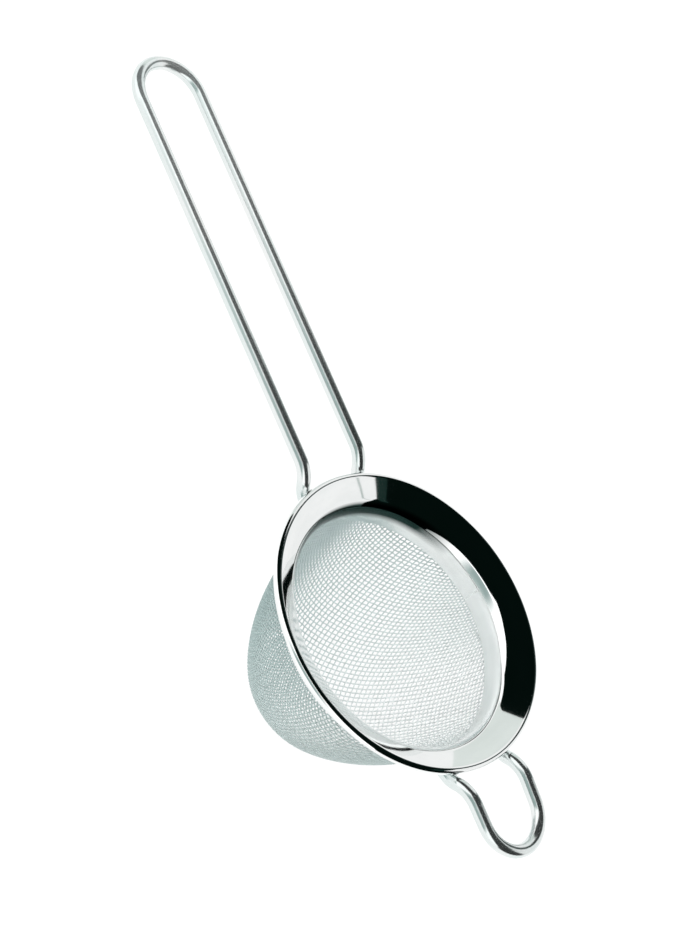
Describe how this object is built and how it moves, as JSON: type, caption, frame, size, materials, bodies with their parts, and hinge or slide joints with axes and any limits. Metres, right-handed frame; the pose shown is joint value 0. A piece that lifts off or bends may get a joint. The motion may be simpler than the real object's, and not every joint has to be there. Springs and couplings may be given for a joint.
{
  "type": "tea strainer",
  "caption": "Round-bottomed wire-mesh tea strainer with a wide flanged rim, a long bent-wire handle and a short wire rest loop.",
  "frame": {"origin": "centre of the small flat under the bowl, on the bowl's axis", "axes": "+Z along the bowl's axis, out of its mouth; the handle points to -X and the rest loop to +X; +Y is across the handle"},
  "size_m": [0.2201, 0.08, 0.0653],
  "materials": {
    "polished_sheet": "mirror-polished stainless steel sheet",
    "wire_cloth": "woven stainless steel wire",
    "polished_wire": "polished stainless steel wire"
  },
  "bodies": {
    "root": {"rim": "polished_sheet", "clamp_ring": "polished_sheet", "mesh_bowl": "wire_cloth", "handle_wire": "polished_wire", "rest_loop_wire": "polished_wire"}
  },
  "joints": []
}
